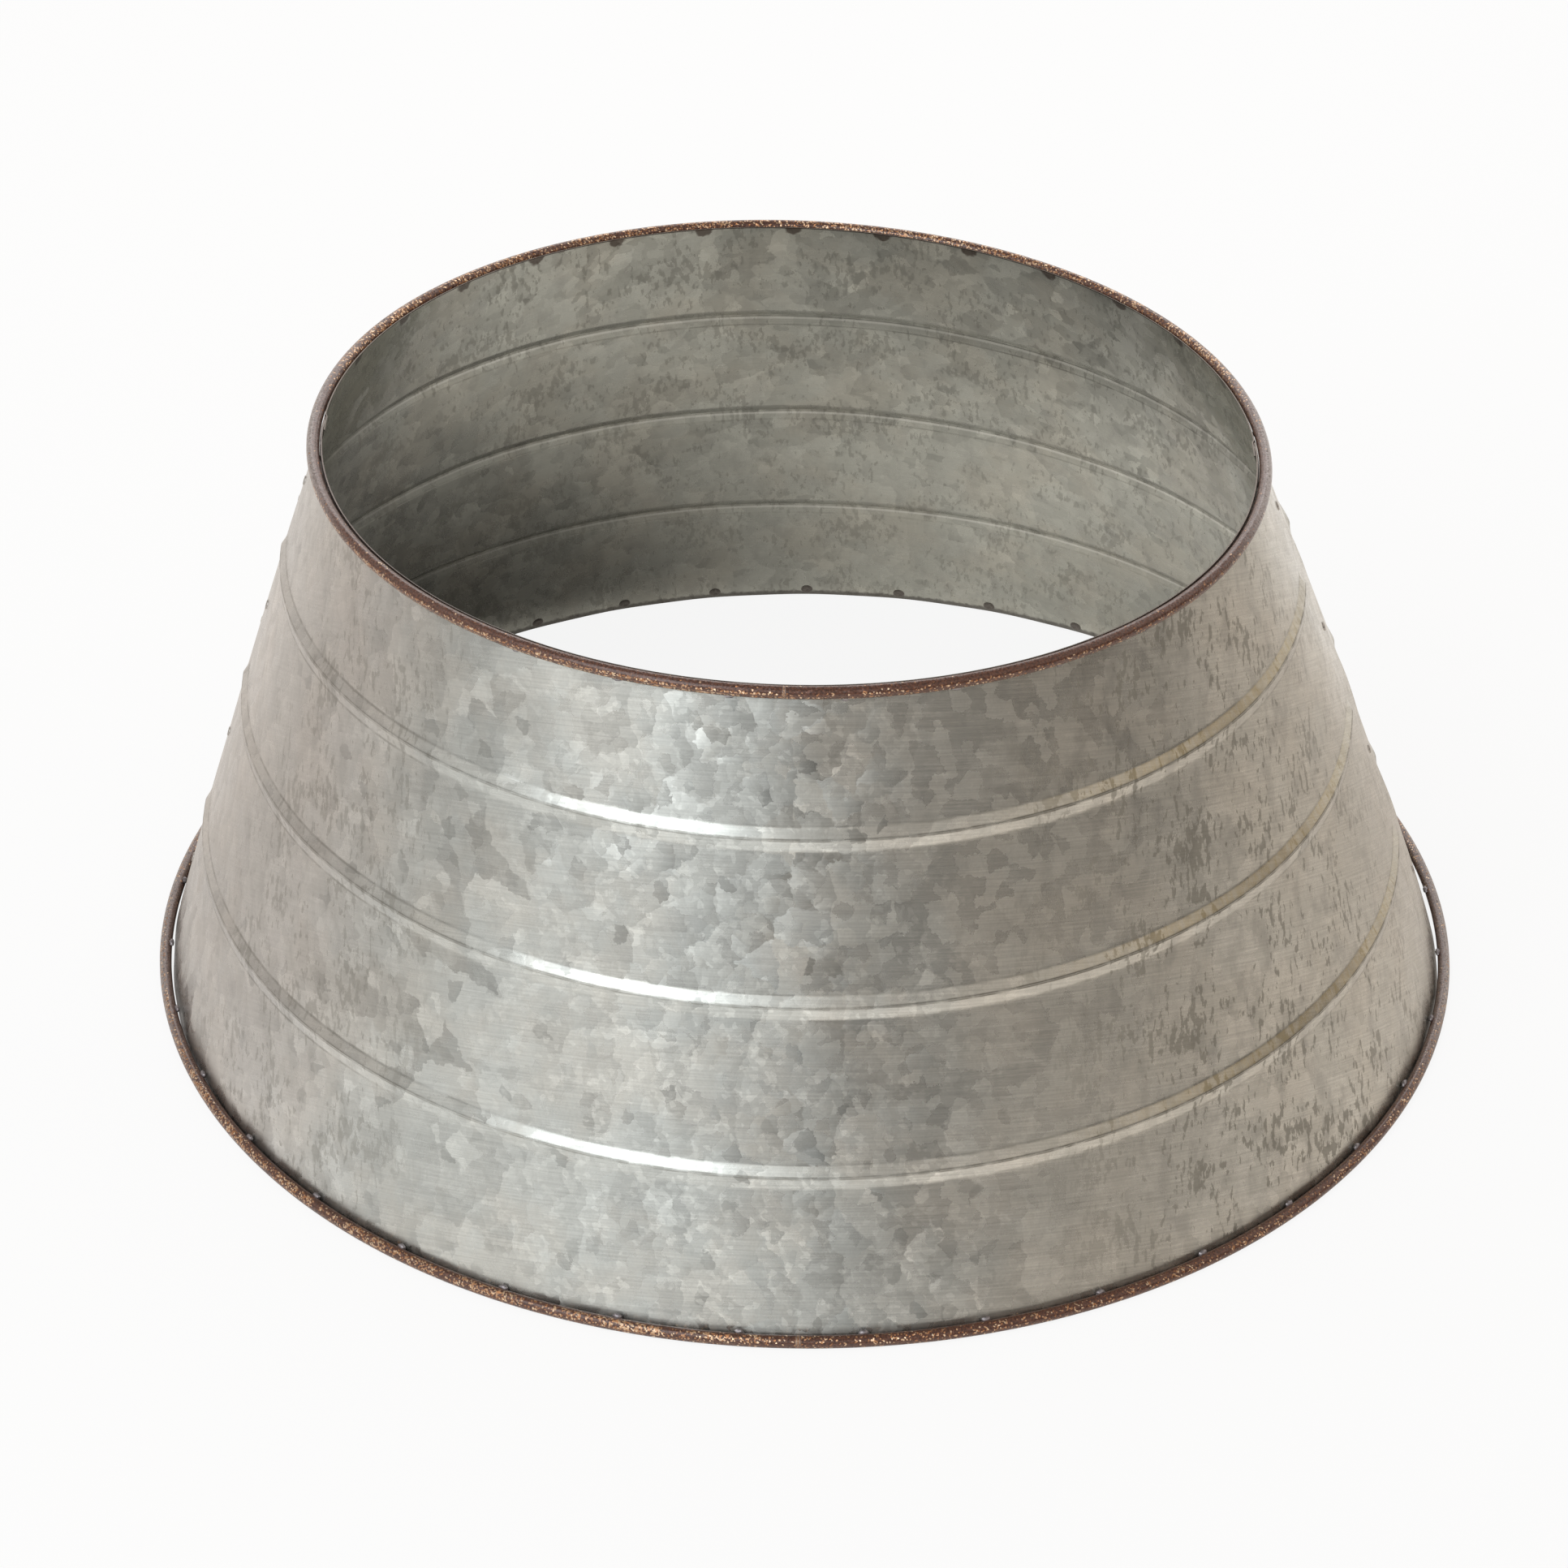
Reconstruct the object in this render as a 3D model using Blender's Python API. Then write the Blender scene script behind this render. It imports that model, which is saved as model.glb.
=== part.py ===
"""A galvanised steel tree collar, which stands on the floor and hides a tree's stand.

The collar is an open cone of two thin half-round panels. Each panel has three raised beads rolled
round it, which fade out before the seams. The panels lap at the left and right, where the back
panel steps in behind the front one and spot welds hold the two together. A round wire ring is
welded outside each cut edge, so the bottom one stands on the floor and the top one rims the
opening. The collar was bent and welded by hand and is a little out of true: its rings are oval,
and the top one lies off centre and leans. The origin is on the floor at the bottom ring's middle,
the front faces -Y and +Z is up.
"""

import math

import bmesh
import bpy
from mathutils import Matrix, Vector

# Driving sizes, in metres
HEIGHT = 0.284                  # to the top of the top ring, at its middle
BASE_DIAMETER = 0.660           # across the outside of the bottom ring
TOP_DIAMETER = 0.452            # across the outside of the top ring
WIRE_DIAMETER = 0.006
SHEET_THICKNESS = 0.0006
CLEARANCE = 0.0003              # left between two pieces that touch
TOP_EDGE_DROP = 0.0019          # from the top of the top ring down to the sheet's edge

# How far the real collar is out of true
BASE_OVAL_SHARES = (0.9935, 1.0)        # width and depth of the bottom ring, of its diameter
TOP_OVAL_SHARES = (1.017, 0.991)
TOP_SHIFT_LEFT = 0.0087         # from the axis to the top ring's middle
TOP_SHIFT_BACK = 0.0056
TOP_RISE_LEFT = 0.0057          # how much higher the top ring's left side is than its middle
TOP_RISE_BACK = 0.0024

# Beads, which stand out of each panel as low roofs with a narrow flat crest
BEAD_WIDTH = 0.0108
BEAD_CREST_WIDTH = 0.001
BEAD_HEIGHT = 0.0019
BEAD_RUN_OUT = 0.020            # length in which a bead rises from the flat end of its panel
BEAD_PLACE_SHARES = (0.257, 0.5145, 0.766)  # of the height, from the floor

# Lapped seams
LAP_WIDTH = 0.016
JOGGLE_LENGTH = 0.004           # length in which the back panel steps in behind the front one
SEAM_WELD_DIAMETER = 0.005
SEAM_WELD_HEIGHT = 0.0006
SEAM_WELD_TAPER_SHARE = 0.6     # of the diameter, across the weld's top
SEAM_WELD_PLACE_SHARES = (0.13, 0.39, 0.644, 0.885)

# Welds in the groove between a ring and the sheet: above the bottom ring, below the top one
RING_WELD_LENGTH = 0.005
RING_WELD_LOW_ANGLE = 26        # degrees round the wire, from the nearest point of the sheet
RING_WELD_HIGH_ANGLE = 72
RING_WELD_ROOT_SHARE = 0.75     # of the wire's radius, where the weld ends inside the wire
RING_WELD_TAPER_SHARE = 0.4     # of the weld's section, left at its ends
BOTTOM_WELD_COUNTS = (18, 19)   # along the front panel, and along the back one
TOP_WELD_COUNTS = (14, 15)

# Flats that stand for round forms
TURN_FLATS = 90
WIRE_FLATS = 12
SEAM_WELD_FLATS = 10
SMOOTH_ANGLE = math.radians(40)

# Places that follow from the sizes, as (distance from the axis, height)
wire_radius = WIRE_DIAMETER / 2
wire_corner = wire_radius / math.cos(math.pi / WIRE_FLATS)
bottom_wire = Vector((BASE_DIAMETER / 2 - wire_radius, wire_radius))
top_wire = Vector((TOP_DIAMETER / 2 - wire_radius, HEIGHT - wire_radius))
slope = (top_wire - bottom_wire).normalized()
outward = Vector((slope.y, -slope.x))
seat = wire_corner + CLEARANCE          # from a wire's centre to the sheet's outer face
seam_radius = (bottom_wire.x + top_wire.x) / 2 - seat / outward.x
quarter_turn = math.pi / 2
front = 0.0
back = math.pi
right = quarter_turn
left = -quarter_turn


def sheet_point(height, out=0.0):
    """Place in the section at a height, raised square off the sheet's outer face."""
    foot = bottom_wire - outward * seat
    return foot + slope * ((height - foot.y) / slope.y) + outward * out


def bead_line(rise_share):
    """Outer line of the section, from the bottom edge up over the beads to the top edge."""
    foot = BEAD_WIDTH / 2
    crest = BEAD_CREST_WIDTH / 2
    rise = BEAD_HEIGHT * rise_share
    line = [sheet_point(0.0)]
    for share in BEAD_PLACE_SHARES:
        height = share * HEIGHT
        line.append(sheet_point(height) - slope * foot)
        line.append(sheet_point(height, rise) - slope * crest)
        line.append(sheet_point(height, rise) + slope * crest)
        line.append(sheet_point(height) + slope * foot)
    line.append(sheet_point(HEIGHT - TOP_EDGE_DROP))
    return line


def inner_line(line):
    """The line moved in by the sheet's thickness; its two ends stay at their own heights."""
    moved = [line[0] - Vector((SHEET_THICKNESS / outward.x, 0.0))]
    for before, point, after in zip(line, line[1:], line[2:]):
        first = (point - before).normalized()
        second = (after - point).normalized()
        middle = Vector((first.y + second.y, -first.x - second.x)).normalized()
        reach = SHEET_THICKNESS / middle.dot(Vector((first.y, -first.x)))
        moved.append(point - middle * reach)
    moved.append(line[-1] - Vector((SHEET_THICKNESS / outward.x, 0.0)))
    return moved


def sheet_section(rise_share, inset):
    """Closed section of the sheet, with its beads raised in part and the whole moved in."""
    line = bead_line(rise_share)
    shift = Vector((inset / outward.x, 0.0))
    return [point - shift for point in line + inner_line(line)[::-1]]


def on_flat(azimuth):
    """Share of a corner's distance from the axis that a flat has at an azimuth."""
    flat = 2 * math.pi / TURN_FLATS
    from_middle = azimuth % flat - flat / 2
    return math.cos(flat / 2) / math.cos(from_middle)


def as_built(place):
    """Where the real collar has a place of the true cone: the level's oval, shift and lean grow
    evenly from the floor up."""
    share = place.z / HEIGHT
    wide, deep = (
        base + (top - base) * share for base, top in zip(BASE_OVAL_SHARES, TOP_OVAL_SHARES))
    rise = (place.y * TOP_RISE_BACK - place.x * TOP_RISE_LEFT) / (TOP_DIAMETER / 2)
    return Vector((
        place.x * wide - TOP_SHIFT_LEFT * share,
        place.y * deep + TOP_SHIFT_BACK * share,
        place.z + rise * share))


def around(point, azimuth):
    """A place in the section turned to an azimuth, which grows from the front to the right."""
    distance = point.x * on_flat(azimuth)
    return as_built(Vector((
        distance * math.sin(azimuth), -distance * math.cos(azimuth), point.y)))


def ramp(length, start, run):
    """0 before start, 1 after start + run, and an even rise between the two."""
    return min(max((length - start) / run, 0.0), 1.0)


def loft(bm, sections):
    """Closed body through a row of closed sections, with a cap on the first and the last."""
    loops = [[bm.verts.new(point) for point in section] for section in sections]
    bm.faces.new(loops[0])
    bm.faces.new(loops[-1])
    for near, far in zip(loops, loops[1:]):
        for i in range(len(near)):
            j = (i + 1) % len(near)
            bm.faces.new((near[i], near[j], far[j], far[i]))


def add_object(name, bm, material):
    """Object with the mesh, its faces outwards and its round faces shaded smooth."""
    bmesh.ops.recalc_face_normals(bm, faces=bm.faces)
    mesh = bpy.data.meshes.new(name)
    bm.to_mesh(mesh)
    bm.free()
    mesh.shade_smooth()
    mesh.set_sharp_from_angle(angle=SMOOTH_ANGLE)
    mesh.materials.append(material)
    item = bpy.data.objects.new(name, mesh)
    bpy.context.collection.objects.link(item)
    return item


def add_material(name, colour, roughness, metallic):
    material = bpy.data.materials.new(name)
    material.use_nodes = True
    shader = material.node_tree.nodes["Principled BSDF"]
    shader.inputs["Base Color"].default_value = (*colour, 1.0)
    shader.inputs["Roughness"].default_value = roughness
    shader.inputs["Metallic"].default_value = metallic
    return material


def add_panel(name, middle, tucked, material):
    """Half-round panel of sheet, lofted from one end to the other through its turned section.

    Lengths are measured in from each end along the seam's mean radius. The lap comes first and
    is flat. On a tucked panel the lap lies behind the other panel, and a joggle then brings the
    sheet back out. After that the beads rise to their full height, on both panels alike.
    """
    reach = quarter_turn + LAP_WIDTH / 2 / seam_radius
    lap = LAP_WIDTH + CLEARANCE * tucked
    flat_end = lap + JOGGLE_LENGTH
    step_in = (SHEET_THICKNESS + CLEARANCE) * tucked
    marks = {0.0, lap, flat_end, flat_end + BEAD_RUN_OUT / 2, flat_end + BEAD_RUN_OUT}
    turns = {side * (reach - mark / seam_radius) for mark in marks for side in (-1, 1)}
    corner = 2 * math.pi / TURN_FLATS
    offset = middle % corner
    for i in range(-TURN_FLATS, TURN_FLATS + 1):
        turn = i * corner - offset
        if abs(turn) < reach and min(abs(turn - other) for other in turns) > corner / 20:
            turns.add(turn)
    sections = []
    for turn in sorted(turns):
        length = (reach - abs(turn)) * seam_radius
        rise_share = ramp(length, flat_end, BEAD_RUN_OUT)
        inset = step_in * (1 - ramp(length, lap, JOGGLE_LENGTH))
        sections.append([around(point, middle + turn) for point in sheet_section(rise_share, inset)])
    bm = bmesh.new()
    loft(bm, sections)
    return add_object(name, bm, material)


def add_ring(name, wire, weld_counts, weld_side, material):
    """Wire ring, spun once round the axis, with a flat of its section underneath.

    Its welds stand in the groove above it (side 1) or below it (side -1), evenly spaced along
    each panel, and are one body with the wire.
    """
    bm = bmesh.new()
    upright = Matrix.Rotation(quarter_turn, 4, "Y")
    half_flat = Matrix.Rotation(math.pi / WIRE_FLATS, 4, "Z")
    place = Matrix.Translation((0.0, -wire.x, wire.y))
    bmesh.ops.create_circle(
        bm, segments=WIRE_FLATS, radius=wire_corner, matrix=place @ upright @ half_flat)
    bmesh.ops.spin(
        bm, geom=bm.verts[:] + bm.edges[:], cent=(0.0, 0.0, 0.0), axis=(0.0, 0.0, 1.0),
        angle=2 * math.pi, steps=TURN_FLATS, use_merge=True)
    for corner in bm.verts:
        corner.co = as_built(corner.co)
    ring = add_object(name, bm, material)
    join = ring.modifiers.new("welds", "BOOLEAN")
    join.operation = "UNION"
    join.object = add_ring_welds(name + "_welds", wire, weld_counts, weld_side, material)
    return ring


def ring_weld_section(wire, side, size_share):
    """Section of a weld, from its root inside the wire to its flat side against the sheet."""
    low = math.radians(RING_WELD_LOW_ANGLE)
    high = math.radians(RING_WELD_HIGH_ANGLE)
    root = wire_radius * RING_WELD_ROOT_SHARE
    points = [
        Vector((seat - root * math.cos(low), root * math.sin(low))),
        Vector((CLEARANCE, seat * math.sin(low))),
        Vector((CLEARANCE, seat * math.sin(high))),
        Vector((seat - root * math.cos(high), root * math.sin(high))),
    ]
    middle = (points[0] + points[-1]) / 2
    nearest = wire - outward * seat
    shrunk = [middle + (point - middle) * size_share for point in points]
    return [nearest + outward * point.x + slope * (side * point.y) for point in shrunk]


def add_ring_welds(name, wire, counts, weld_side, material):
    """Guide with a ring's welds, each full in the middle and thin at its ends."""
    bm = bmesh.new()
    azimuths = [
        middle + math.pi * ((i + 1 / 2) / count - 1 / 2)
        for middle, count in zip((front, back), counts) for i in range(count)]
    for azimuth in azimuths:
        along = Vector((math.cos(azimuth), math.sin(azimuth), 0.0))
        sections = []
        for end, size_share in ((-1, RING_WELD_TAPER_SHARE), (0, 1.0), (1, RING_WELD_TAPER_SHARE)):
            shift = along * (end * RING_WELD_LENGTH / 2)
            section = ring_weld_section(wire, weld_side, size_share)
            sections.append([around(point, azimuth) + shift for point in section])
        loft(bm, sections)
    guide = add_object(name, bm, material)
    guide.hide_render = True
    guide.display_type = "WIRE"
    return guide


def add_seam_welds(side, azimuth, material):
    """Low round welds up a lapped seam, on the outside of the front panel."""
    reach = SEAM_WELD_DIAMETER / 2
    turn = reach / seam_radius
    for number, share in enumerate(SEAM_WELD_PLACE_SHARES, 1):
        place = sheet_point(share * HEIGHT)
        across = around(place, azimuth + turn) - around(place, azimuth - turn)
        up = around(place + slope * reach, azimuth) - around(place - slope * reach, azimuth)
        axis = across.cross(up).normalized()
        bm = bmesh.new()
        bmesh.ops.create_cone(
            bm, cap_ends=True, segments=SEAM_WELD_FLATS, radius1=reach,
            radius2=reach * SEAM_WELD_TAPER_SHARE, depth=SEAM_WELD_HEIGHT)
        weld = add_object(f"{side}_seam_weld_{number}", bm, material)
        weld.location = around(place, azimuth) + axis * (CLEARANCE + SEAM_WELD_HEIGHT / 2)
        weld.rotation_euler = axis.to_track_quat("Z", "Y").to_euler()


def main():
    for item in list(bpy.data.objects):
        bpy.data.objects.remove(item)
    zinc = add_material("galvanised_sheet", (0.40, 0.39, 0.35), 0.42, 0.85)
    paint = add_material("brown_paint", (0.090, 0.035, 0.018), 0.50, 0.30)
    bare = add_material("spot_weld", (0.17, 0.16, 0.14), 0.55, 0.80)

    add_panel("front_panel", front, False, zinc)
    add_panel("back_panel", back, True, zinc)
    add_ring("bottom_wire_ring", bottom_wire, BOTTOM_WELD_COUNTS, 1, paint)
    add_ring("top_wire_ring", top_wire, TOP_WELD_COUNTS, -1, paint)
    add_seam_welds("left", left, bare)
    add_seam_welds("right", right, bare)


main()
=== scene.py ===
"""Looks of a galvanised steel tree collar.

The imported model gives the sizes. Two half-round sheets, each with three rolled beads, are made
again with fine surfaces, as are the two wire rings, the welds in their grooves and the spot welds
up the seams. Lengths are in metres. Azimuths are in radians, from the front (-Y) to the right (+X).
"""

import math
from functools import partial

import bpy
import numpy as np
from mathutils import Matrix, Vector


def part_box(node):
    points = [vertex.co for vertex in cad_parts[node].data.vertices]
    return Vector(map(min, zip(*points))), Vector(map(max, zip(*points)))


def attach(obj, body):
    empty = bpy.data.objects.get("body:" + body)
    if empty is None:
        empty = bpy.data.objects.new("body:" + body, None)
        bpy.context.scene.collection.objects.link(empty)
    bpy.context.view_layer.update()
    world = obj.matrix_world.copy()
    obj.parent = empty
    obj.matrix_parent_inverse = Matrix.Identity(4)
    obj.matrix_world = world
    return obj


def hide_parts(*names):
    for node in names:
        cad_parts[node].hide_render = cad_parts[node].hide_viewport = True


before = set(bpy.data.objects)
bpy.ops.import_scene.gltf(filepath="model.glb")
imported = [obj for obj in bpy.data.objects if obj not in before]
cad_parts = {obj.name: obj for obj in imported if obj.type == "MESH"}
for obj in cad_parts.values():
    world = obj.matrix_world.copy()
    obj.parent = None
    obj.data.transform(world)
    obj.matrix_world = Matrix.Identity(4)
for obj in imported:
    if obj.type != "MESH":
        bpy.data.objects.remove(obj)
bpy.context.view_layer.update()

MM = 0.001

# Sizes of the wire and the sheet
wire_radius = 3.0 * MM
lacquer_waver = 0.02 * MM
sheet_thickness = 0.6 * MM
wire_gap = 0.4 * MM             # between a wire and the sheet's outer face
top_edge_drop = 1.9 * MM        # from the top of the ring down to the sheet's top edge
top_press = 0.3 * MM            # how far the top ring draws the sheet's edge outwards
top_press_reach = 4 * MM
floor_clearance = 0.1 * MM

# How far the collar is out of true: it is bent and welded by hand
base_oval = (0.9935, 1.0)       # width and depth of the bottom ring, as shares of its diameter
top_oval = (1.017, 0.991)
top_rise_left = 5.7 * MM        # how much higher the top ring's left side is than its middle
top_rise_back = 2.4 * MM

# Overall sizes of the true cone, from the frame's boxes round its two rings
base_low, base_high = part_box("bottom_wire_ring")
top_low, top_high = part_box("top_wire_ring")
base_radius = (base_high[1] - base_low[1]) / 2 / base_oval[1]
top_radius = (top_high[1] - top_low[1]) / 2 / top_oval[1]
top_middle = (top_low + top_high) / 2
height = top_middle[2] + wire_radius
top_shift = np.array(top_middle[:2]) * height / top_middle[2]

# Section of the cone, as (distance from the axis, height)
bottom_wire = np.array([base_radius - wire_radius, wire_radius])
top_wire = np.array([top_radius - wire_radius, height - wire_radius])
slope = (top_wire - bottom_wire) / np.linalg.norm(top_wire - bottom_wire)
outward = np.array([slope[1], -slope[0]])
sheet_foot = bottom_wire - outward * (wire_radius + wire_gap)
sheet_foot = sheet_foot - slope * (sheet_foot[1] / slope[1])
sheet_length = height / slope[1]
edge_length = (height - top_edge_drop) / slope[1]
seam_radius = sheet_foot[0] + slope[0] * sheet_length / 2

# Beads
bead_places = np.array([0.257, 0.5145, 0.766]) * sheet_length
bead_half_width = 5.4 * MM
bead_height = 2.1 * MM
bead_crest = 0.55 * MM          # length over which the crest is rounded
bead_foot = 0.16 * MM           # height over which a foot is rounded
bead_run_out = 9 * MM
left_bead_end = 3 * MM          # from the front panel's left end to its beads: they run on there
back_bead_end = 46 * MM         # from the back panel's ends to its beads

# Lapped seams at the left and right
lap_width = 16 * MM
joggle_length = 4 * MM
lap_gap = 0.3 * MM
lap_lifts = (0.12 * MM, 0.6 * MM)   # half the bow of the lap's free edge, left and right
lap_lift_reach = 9 * MM
seam_weld_places = np.array([0.13, 0.39, 0.644, 0.885]) * sheet_length

# Welds round the rings, in number on the front panel and on the back panel
bottom_welds = (18, 19)
top_welds = (14, 15)
nugget_radii = np.array([2.4, 1.3, 1.6]) * MM   # along the groove, across it and up
nugget_angle = math.radians(52)     # round the wire, from its side next to the sheet
nugget_clearance = 0.5 * MM         # from the wire's skin out to a nugget's middle
foot_mark_height = 4.8 * MM         # of the bottom welds' round marks inside

# Half sections of round marks, from the middle out and back: (radius, height over the sheet)
seam_weld_size = (2.5 * MM, 0.6 * MM)
seam_weld_profile = np.array([
    (0.0, 0.45), (0.3, 0.5), (0.6, 0.95), (0.8, 1.0), (0.95, 0.5), (1.0, 0.0), (1.0, -0.3),
    (0.0, -0.3)]) * seam_weld_size
foot_mark_profile = np.array([
    (0.0, 0.35), (0.9, 0.4), (2.0, 0.62), (2.7, 0.5), (3.3, 0.08), (3.3, -0.2), (0.0, -0.2)]) * MM

# Slow dents of the thin sheet: (depth, whole waves round the cone and their phase, half waves up
# the slope and their phase)
dents = [(0.45 * MM, 5, 1.3, 2.2, 0.4), (0.30 * MM, 9, -0.7, 3.1, 1.9),
         (0.16 * MM, 17, 2.4, 2.7, 0.9)]
belly = 0.5 * MM                # how far the sheet stands out midway between the rings

# How far the sheet's bottom edge stands in: half its ripple between the ring's welds, and beside
# the seams (most, azimuth in degrees)
edge_ripple = 0.2 * MM
seam_pulls = [(2.4 * MM, 96), (1.0 * MM, -82)]
seam_pull_width = math.radians(9)
edge_pull_reach = 16 * MM

# Sizes of the patterns in the zinc, those of two lengths as (across, up)
broad_crystal = 17 * MM
small_crystal = 6.5 * MM
crystal_drift = (9 * MM, 9 * MM)        # grain and size of a slow shift of the crystals' outlines
crystal_fringe = (2.4 * MM, 1.3 * MM)   # grain and size of their ragged edges
feather = (9 * MM, 1.6 * MM)
fleck, fleck_group = 2.7 * MM, 16 * MM
rolled_line = (40 * MM, 0.9 * MM)       # real ones are 0.6 mm apart, too fine to show
zinc_grain = 1.1 * MM
zinc_cloud = 55 * MM
streak, streak_group = (3.1 * MM, 7.5 * MM), 30 * MM
dull_patch = (12 * MM, 24 * MM)
line_break = 9 * MM                     # grain of the breaks in the painted shade lines along the beads
ragged_edge_grain = 3 * MM                     # grain and size of the ragged edges of the painted groove shade and the weld marks
back_map_shift = (7.0, 0.0)             # so that each sheet has crystals of its own
inner_map_shift = (3.0, 1.0)            # and each of its faces

# Sizes of the patterns in the lacquer and on the welds
lacquer_grain = 1.1 * MM
lacquer_speck, speck_group = 0.75 * MM, 24 * MM
weld_grain = 1.2 * MM

# Band of golden metal specks along each ring, gathered where they glint, as painted glints: (its
# place round the wire, from the outermost line upwards, half its width, greatest share of
# specks), and the place of the line of painted grey sheen beside the seams
bottom_glint_band = (1.6 * MM, 3.8 * MM, 0.45)
top_glint_band = (-1.5 * MM, 3.4 * MM, 0.58)
sheen_line_at = 2.6 * MM

# Studio, all round the collar: (azimuth in degrees, level of the wall near the floor, level high
# up, warmth of the light, level of the floor as the metal mirrors it)
studio_levels = [
    (-180, 1.2, 0.5, 0.25, 0.9), (-150, 1.05, 0.5, 0.3, 0.9), (-125, 0.82, 0.6, 0.35, 0.95),
    (-100, 0.55, 0.95, 0.35, 0.8), (-72, 0.36, 1.0, 0.22, 0.95), (-60, 0.66, 1.1, 0.12, 1.1),
    (-50, 0.88, 1.25, 0.1, 1.2), (-32, 0.88, 1.5, 0.08, 1.2), (-14, 0.55, 2.0, 0.03, 1.25),
    (2, 0.37, 1.3, 0.15, 1.15), (11, 0.14, 0.8, 0.3, 1.05), (22, 0.15, 0.75, 0.4, 1.1),
    (40, 0.14, 0.8, 0.45, 1.05), (60, 0.08, 0.85, 0.45, 1.0), (88, 0.05, 0.95, 0.5, 0.85),
    (104, 0.25, 1.0, 0.55, 0.75), (116, 0.75, 1.05, 0.55, 0.75), (130, 1.0, 1.0, 0.3, 1.05),
    (145, 1.1, 0.8, 0.25, 1.1), (165, 1.15, 0.6, 0.25, 0.9), (180, 1.2, 0.5, 0.25, 0.9)]

# Levels of the floor inside the collar as the metal mirrors it: (share of the way from left to
# right, level)
inner_floor_levels = [
    (0.0, 0.06), (0.24, 0.09), (0.36, 0.2), (0.5, 0.68), (0.62, 1.02), (0.76, 0.85), (0.86, 0.4),
    (1.0, 0.28)]
overhead_level = 0.35           # of the ceiling, straight over the collar
floor_half_width = 15.0

# Softboxes: (name, azimuth and elevation in degrees, distance, width, height, radiance, colour)
softboxes = [("key_softbox", -33, 46, 1.6, 0.76, 1.1, 2.3, "#F3F9FF"),
             ("back_softbox", 180, 36, 1.8, 1.8, 0.5, 2.2, "#FFFFFF")]

# The photograph's camera, fitted to the rings and beads
photo_width = 1932
focal_pixels = 5312
sensor_width = 36.0
camera_place = Vector((0.0, -1.7964, 1.2907))
camera_pitch = math.radians(33.856)
camera_yaw = math.radians(-0.347)
camera_roll = math.radians(0.212)


# Shapes


def smooth_step(x, low, high):
    """0 below low, 1 above high, and 3t^2 - 2t^3 between them, t being the share of the way."""
    t = np.clip((x - low) / (high - low), 0.0, 1.0)
    return t * t * (3.0 - 2.0 * t)


def weld_azimuths(counts):
    """Azimuths of a ring's welds: evenly spaced over the front half turn, then over the back."""
    front = ((np.arange(counts[0]) + 0.5) / counts[0] - 0.5) * math.pi
    rear = ((np.arange(counts[1]) + 0.5) / counts[1] + 0.5) * math.pi
    return np.concatenate([front, rear])


def as_built(points):
    """Points of the true cone moved to where the real collar has them.

    With s the share of the height, x and y are stretched by the oval, which runs evenly from the
    bottom ring's to the top ring's, and shift by s times the top's shift. z rises by s times the
    rise of the top ring there, (y rise_back - x rise_left) / top radius.
    """
    x, y, z = points.T
    share = z / height
    wide, deep = (low + (high - low) * share for low, high in zip(base_oval, top_oval))
    rise = (y * top_rise_back - x * top_rise_left) / top_radius
    return np.stack([
        x * wide + top_shift[0] * share, y * deep + top_shift[1] * share, z + rise * share], 1)


def bead_rise(along):
    """Height of the beads over the sheet.

    Each is a roof with two straight flanks, H (1 - sqrt(q^2 + c^2) / w) at q from its crest, made
    to run into the sheet by the smooth maximum of that and zero, (t + sqrt(t^2 + f^2)) / 2.
    """
    q = along[..., None] - bead_places
    roof = bead_height * (1.0 - np.sqrt(q ** 2 + bead_crest ** 2) / bead_half_width)
    return ((roof + np.sqrt(roof ** 2 + bead_foot ** 2)) / 2.0).sum(-1)


def sheet_waves(azimuth, along):
    """Slow dents and belly of the sheet, which the rings hold true.

    The belly and the sum of the dents d sin(n a + p) sin(pi m s + q) are taken 4 s (1 - s) times,
    with a the azimuth and s the share of the slope.
    """
    share = along / sheet_length
    out = belly
    for depth, waves_round, phase_round, waves_up, phase_up in dents:
        ripple = np.sin(waves_round * azimuth + phase_round)
        out = out + depth * ripple * np.sin(waves_up * math.pi * share + phase_up)
    return out * 4.0 * share * (1.0 - share)


def edge_pull(azimuth, along):
    """How far the sheet stands in from the cone at its bottom edge, dying out up the slope.

    It is r (1 - cos(n a)) for the n welds of a full turn, and a bell curve beside each seam.
    """
    pull = edge_ripple * (1 - np.cos(2 * bottom_welds[0] * azimuth))
    for most, place in seam_pulls:
        pull = pull + most * np.exp(-((azimuth - math.radians(place)) / seam_pull_width) ** 2)
    return pull * np.exp(-along / edge_pull_reach)


def seam_bow(azimuth, from_end, along):
    """Lift of a free lap edge between its spot welds: 1 - cos of the place between two welds,
    which dies out in from the end."""
    turns = np.interp(along, seam_weld_places, np.arange(len(seam_weld_places)))
    held = (along > seam_weld_places[0]) & (along < seam_weld_places[-1])
    lift = np.where(azimuth < 0, *lap_lifts)
    return lift * (1 - np.cos(2 * math.pi * turns)) * np.exp(-from_end / lap_lift_reach) * held


def round_axis(distance, level, azimuth):
    """Points at a distance from the axis and a level, turned about it from the front."""
    return np.stack([distance * np.sin(azimuth), -distance * np.cos(azimuth), level], -1)


def cone_points(azimuth, along, out, pull):
    """Point (a, s, o): foot + slope s + outward o in the section, moved in by the pull and turned
    about the axis by a."""
    distance = sheet_foot[0] + slope[0] * along + outward[0] * out - pull
    level = sheet_foot[1] + slope[1] * along + outward[1] * out
    return round_axis(distance, level, azimuth)


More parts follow.
